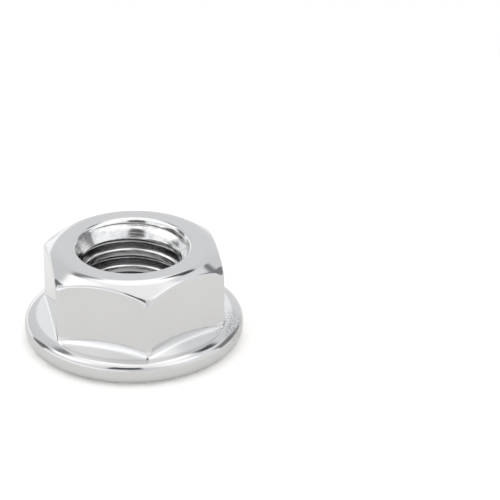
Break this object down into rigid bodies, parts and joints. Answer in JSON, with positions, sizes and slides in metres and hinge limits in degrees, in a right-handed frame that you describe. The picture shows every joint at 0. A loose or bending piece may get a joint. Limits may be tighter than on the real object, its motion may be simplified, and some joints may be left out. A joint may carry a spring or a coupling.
{
  "type": "flange lock nut",
  "caption": "Hexagon nut with a round flange forged on, curved locking serrations under the flange and a countersunk through thread.",
  "frame": {"origin": "centre of the bearing face under the flange, on the thread's axis", "axes": "+Z along the thread, from the bearing face to the hexagon's top; two of the hexagon's corners lie on the X axis"},
  "size_m": [0.0186, 0.0186, 0.0084],
  "materials": {
    "steel": "polished"
  },
  "bodies": {
    "root": {"nut": "steel"}
  },
  "joints": []
}
